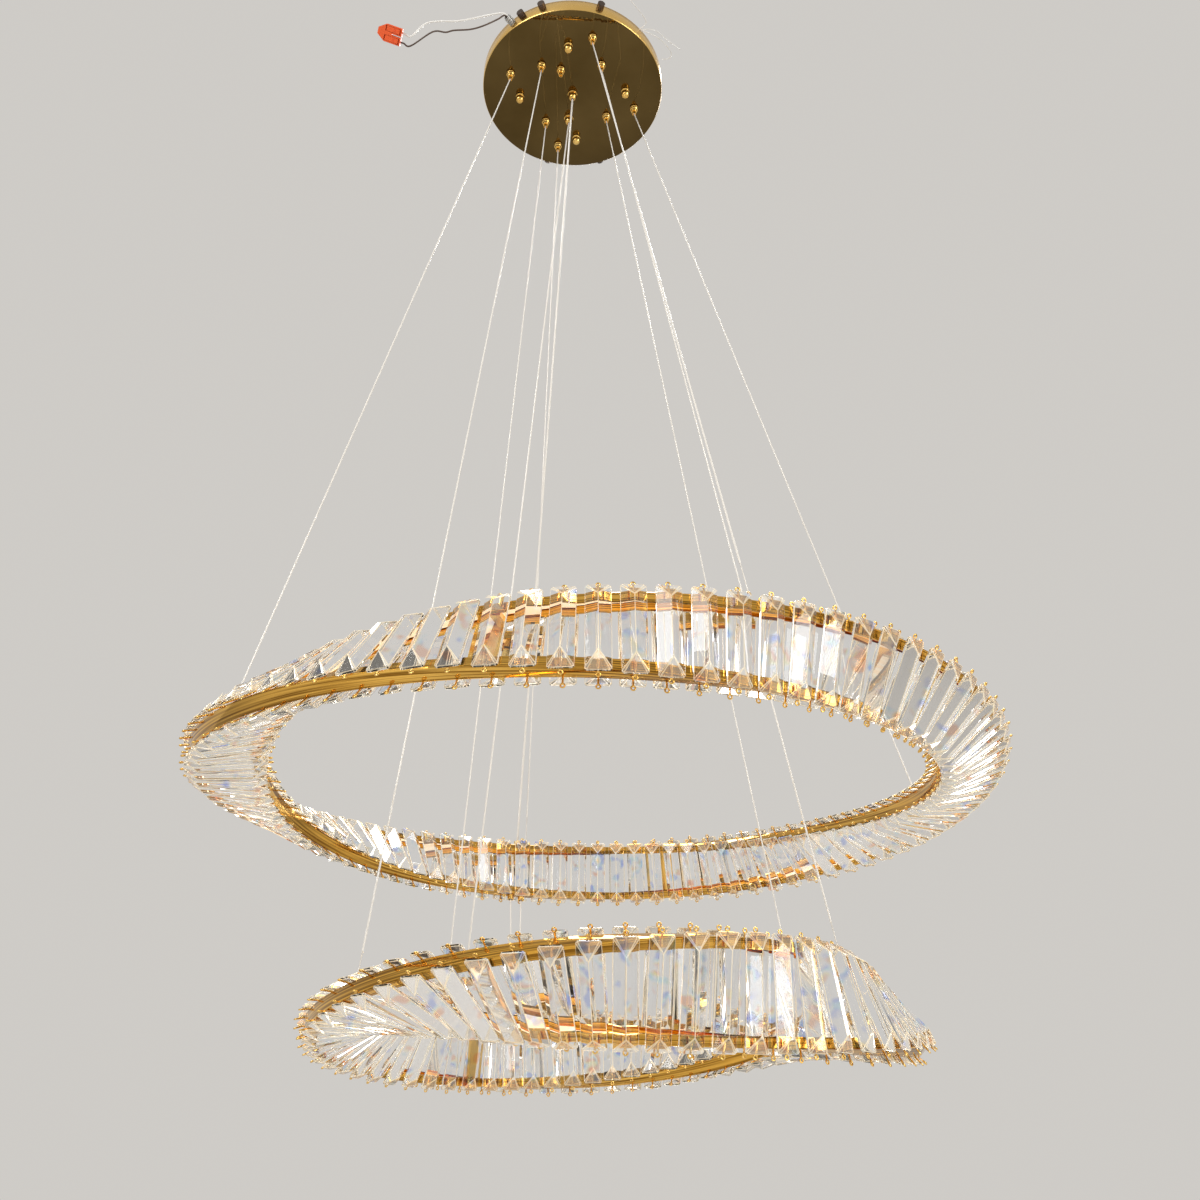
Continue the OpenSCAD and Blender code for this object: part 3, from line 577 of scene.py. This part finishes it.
def rail_outline(ring, side):
    """A channel open towards the other rail, with a slightly crowned web and rounded corners."""
    w, h, c, low = ring["w"] / 2, RAIL_W / 2, RAIL_ROUND, RAIL_CROWN
    shape = [(w - c - low, -h), (w - low, -h + c), (w - 0.1, -h / 2), (w, 0), (w - 0.1, h / 2),
             (w - low, h - c), (w - c - low, h), (w - RAIL_D, h), (w - RAIL_D, h - RAIL_T),
             (w - RAIL_T, h - RAIL_T), (w - RAIL_T, -h + RAIL_T), (w - RAIL_D, -h + RAIL_T), (w - RAIL_D, -h)]
    return [(side * u, side * v) for u, v in shape]


def map_along(rail, ring):
    """Lays out a rail flat for its painted reflection streaks: across its outline, and along the ring in
    millimetres.
    """
    outline = rail_outline(ring, 1)
    uv = rail.data.uv_layers.new(name="along")
    for polygon in rail.data.polygons:
        closes = polygon.index // len(outline) == RAIL_STATIONS - 1
        for index in polygon.loop_indices:
            station, corner = divmod(rail.data.loops[index].vertex_index, len(outline))
            u, v = outline[corner]
            turn = 360 if closes and station == 0 else station * 360 / RAIL_STATIONS
            uv.data[index].uv = (v + 2 * u, radians(turn) * ring["r"])


def cut_bar(length):
    """A crystal bar: flat back, ridge along the middle, hipped ends and small cut corners.

    The third list says what each face is: 0 a face, 1 a narrow bevel, 2 a hipped end.
    """
    w, e, c = BAR_W / 2, BAR_EDGE, BAR_CORNER
    x, q = length / 2, length / 2 - BAR_POINT
    bm = bmesh.new()
    for z in (0, e):
        for sx in (-1, 1):
            for sy in (-1, 1):
                bm.verts.new((sx * (x - c), sy * w, z))
                bm.verts.new((sx * x, sy * (w - c), z))
    for sx in (-1, 1):
        bm.verts.new((sx * q, 0, BAR_T))
    bmesh.ops.convex_hull(bm, input=bm.verts)
    bmesh.ops.dissolve_limit(bm, angle_limit=radians(3), verts=bm.verts, edges=bm.edges)
    cut = bmesh.ops.bevel(bm, geom=list(bm.edges), offset=BAR_BEVEL, offset_type="OFFSET", segments=1,
                          profile=0.5, affect="EDGES")
    bevels = set(cut["faces"])
    bmesh.ops.recalc_face_normals(bm, faces=bm.faces)
    bm.verts.ensure_lookup_table()
    points = [(v.co.x, v.co.y, v.co.z + SEAT + EYELET_T) for v in bm.verts]
    faces = [tuple(v.index for v in f.verts) for f in bm.faces]
    kinds = [1 if f in bevels else 2 if abs(f.normal.x) > 0.3 and f.normal.z > 0.3 else 0 for f in bm.faces]
    bm.free()
    return points, faces, kinds


def loop_and_shank(ring):
    """A gold loop past each end of a crystal, on a shank that runs under it to the rail."""
    z = SEAT + EYELET_T / 2
    parts = []
    for s in (-1, 1):
        centre = s * (ring["crystal"] / 2 + LOOP_PAST_BAR)
        points, faces = [], []
        for i in range(LOOP_TURNS):
            a = 2 * pi * i / LOOP_TURNS
            here, after = i * LOOP_SIDES, (i + 1) % LOOP_TURNS * LOOP_SIDES
            for j in range(LOOP_SIDES):
                b, k = 2 * pi * j / LOOP_SIDES, (j + 1) % LOOP_SIDES
                r = LOOP_R + LOOP_WIRE_R * cos(b)
                points.append((centre + r * cos(a), r * sin(a), z + LOOP_WIRE_R * sin(b)))
                faces.append((here + j, after + j, after + k, here + k))
        parts.append((points, faces))
        inner, outer = ring["w"] / 2 - RAIL_D + 1, ring["crystal"] / 2 + 0.5
        shank = [(inner, 0.5), (inner + 0.6, SHANK_R), (outer - 0.9, SHANK_R), (outer - 0.8, SHANK_COLLAR_R),
                 (outer, SHANK_COLLAR_R), (outer + 0.1, 0.7)]
        parts.append(tube([Vector((s * x, 0, z)) for x, _ in shank], [r for _, r in shank], sides=8))
    return join(parts)


def dress_band(ring, title, body):
    for side, label in ((1, "a"), (-1, "b")):
        points, faces = band_sweep(ring, rail_outline(ring, side), RAIL_STATIONS)
        rail = piece(f"{title}_rail_{label}_polished", points, faces, body, GOLD,
                     nodes=[f"{title}_rail_{label}"])
        map_along(rail, ring)
        keep_sharp(rail, angle=30)
    bar, bar_faces, kinds = cut_bar(ring["crystal"])
    loop, loop_faces = loop_and_shank(ring)
    for face, label in ((1, "front"), (-1, "back")):
        points, faces = spread(ring, bar, bar_faces, face)
        bars = piece(f"{title}_cut_crystals_{label}", points, faces, body, [CRYSTAL, GLOWING_CRYSTAL_EDGE, GLOWING_CRYSTAL_HIP],
                     smooth=False, nodes=[f"{title}_crystals_{label}"])
        for p in bars.data.polygons:
            p.material_index = kinds[p.index % len(kinds)]
        points, faces = spread(ring, loop, loop_faces, face)
        piece(f"{title}_loops_{label}", points, faces, body, GOLD_SMALL,
              nodes=[f"{title}_eyelets_{label}"])


dress_band(UPPER, "upper", "upper_ring")
dress_band(LOWER, "lower", "lower_ring")


# Canopy and its fittings

def drill(obj, places, radius, depth):
    """Cuts round holes through a plate at its places, so that what slides in them touches nothing."""
    half = Vector((0, 0, depth))
    points, faces = join([tube([p - half, p + half], [radius, radius], sides=32) for p in places])
    cutter = bpy.data.meshes.new("drill")
    cutter.from_pydata([p * MM for p in points], [], faces)
    tool = bpy.data.objects.new("drill", cutter)
    bpy.context.scene.collection.objects.link(tool)
    cut = obj.modifiers.new("holes", "BOOLEAN")
    cut.object, cut.solver = tool, "EXACT"
    bpy.context.view_layer.update()
    drilled = bpy.data.meshes.new_from_object(obj.evaluated_get(bpy.context.evaluated_depsgraph_get()))
    obj.modifiers.clear()
    obj.data = drilled
    bpy.data.objects.remove(tool)
    bpy.data.meshes.remove(cutter)


def canopy():
    """The pan, its polished face, darkened by a painted reflection, and its brushed wall with a rolled edge."""
    inner_r, inner_z = CANOPY_R - SHEET_T, FACE_Z + SHEET_T
    profile = [(0.01, FACE_Z), (40, FACE_Z), (90, FACE_Z), (CANOPY_R - 1.3, FACE_Z),
               (CANOPY_R - 0.7, FACE_Z + 0.15), (CANOPY_R - 0.25, FACE_Z + 0.6), (CANOPY_R, FACE_Z + 1.3),
               (CANOPY_R, -0.5), (CANOPY_R - 0.3, -0.1), (CANOPY_R - 0.9, -0.1), (inner_r, -0.5),
               (inner_r, inner_z), (0.01, inner_z)]
    points, faces = lathe(profile, Vector((0, 0, 0)), turns=160)
    pan = piece("canopy_pan_polished", points, faces, "canopy", [FACE_PAINTED_DARK, WALL_GOLD], nodes=["canopy_pan"])
    for p in pan.data.polygons:
        p.material_index = 0 if p.center.z < (FACE_Z + 0.1) * MM else 1
    drill(pan, [polar(r, a, FACE_Z) for r, a in GRIPPERS + GLANDS], CANOPY_HOLE_R, depth=6)
    keep_sharp(pan, angle=40)


def fittings(name, places, profile, node):
    """Turned fittings on the canopy's face, all from one profile of (radius, height)."""
    points, faces = join([lathe(profile, polar(r, a, FACE_Z), turns=28) for r, a in places])
    fitting = piece(name, points, faces, "canopy", GOLD_SMALL, nodes=[node])
    keep_sharp(fitting, angle=35)


canopy()
fittings("gripper_housings", GRIPPERS, [
    (1.6, 2), (1.6, 12), (4, 12), (4, 0), (5.4, 0), (5.9, -0.4), (5.9, -1.2), (5.2, -1.7), (5.2, -2.1),
    (6.05, -2.6), (6.1, -3.6), (5.6, -4.7), (4.5, -5.6), (4.3, -7.5), (3.9, -8), (2.76, -8),
    (2.76, 2)], "gripper_bodies")
fittings("domed_cap_nuts", STUDS, [
    (2.6, 0), (5, 0), (5.6, -0.3), (6, -1), (6, -2.2), (5.4, -2.8), (4.9, -3.2), (5.3, -4), (5.9, -5.4),
    (6, -7), (5.75, -8.8), (5, -10.6), (3.8, -12), (2.2, -12.8), (0.01, -13)], "cap_nuts")
fittings("cable_gland_domes", GLANDS, [
    (1.75, 9), (4, 9), (4, 0), (6.4, 0), (7, -0.5), (7, -3), (6.4, -3.6), (5.4, -3.7), (5.4, -5), (6.2, -5.4),
    (6.3, -7), (5.6, -9.4), (4.6, -11.6), (3.4, -13), (2.5, -13.4), (2.4, -10), (1.75, -9.9),
    (1.75, 8)], "cable_glands")


# Studio: floor, soft lights and a pale surround, in metres

PALE = (0.62, 0.6, 0.57)
FLOOR_Z, FLOOR_R = -2.0, 12.0
LIGHTS_AIM = (0.05, 0, -1.1)


def floor():
    """A plain round floor, clear from below for a view that looks up through it."""
    material, tree, shader = new_material("studio_floor")
    feed(tree, shader, {"Base Color": (*PALE, 1), "Roughness": 0.7})
    back = add(tree, "ShaderNodeNewGeometry").outputs["Backfacing"]
    mix_shaders(tree, back, shader, add(tree, "ShaderNodeBsdfTransparent"))
    bm = bmesh.new()
    bmesh.ops.create_circle(bm, cap_ends=True, radius=FLOOR_R, segments=128)
    mesh = bpy.data.meshes.new("studio_floor")
    bm.to_mesh(mesh)
    bm.free()
    mesh.materials.append(material)
    obj = bpy.data.objects.new("studio_floor", mesh)
    obj.location = (0, 0, FLOOR_Z)
    bpy.context.scene.collection.objects.link(obj)


def softbox(name, at, size, power):
    data = bpy.data.lights.new(name, "AREA")
    data.shape = "RECTANGLE"
    data.size, data.size_y = size
    data.energy = power
    obj = bpy.data.objects.new(name, data)
    obj.location = at
    obj.rotation_euler = (Vector(LIGHTS_AIM) - Vector(at)).to_track_quat("-Z", "Y").to_euler()
    bpy.context.scene.collection.objects.link(obj)


def surround():
    """A pale room, one plain tone to the camera, reflections and clear crystal.

    The light that it sheds on other surfaces is strongest from level and weaker from above and below.
    """
    world = bpy.data.worlds.new("studio")
    bpy.context.scene.world = world
    world.use_nodes = True
    tree = world.node_tree
    split = add(tree, "ShaderNodeSeparateXYZ")
    feed(tree, split, {"Vector": add(tree, "ShaderNodeTexCoord").outputs["Generated"]})
    tiers = ramp(tree, remap(tree, split.outputs["Z"], low=-1.0, high=1.0), [
        (0.0, (0.16, 0.13, 0.1)), (0.28, (0.22, 0.19, 0.16)), (0.42, (0.5, 0.47, 0.43)), (0.52, PALE),
        (0.8, PALE), (1.0, (0.5, 0.47, 0.43))])
    light = add(tree, "ShaderNodeLightPath").outputs
    seen = light["Is Camera Ray"]
    for ray in ("Is Glossy Ray", "Is Transmission Ray"):
        seen = calculate(tree, "MAXIMUM", seen, light[ray])
    feed(tree, tree.nodes["Background"], {"Color": blend(tree, seen, tiers, (*PALE, 1)), "Strength": 1.0})


floor()
surround()
softbox("key_light", (-1.6, -2.0, 0.4), size=(1.2, 1.2), power=45)
softbox("fill_light", (2.2, -1.2, -0.6), size=(1.0, 1.6), power=28)
softbox("back_light", (0.4, 1.7, 1.7), size=(1.6, 0.8), power=45)

bpy.context.scene.view_settings.view_transform = "Standard"
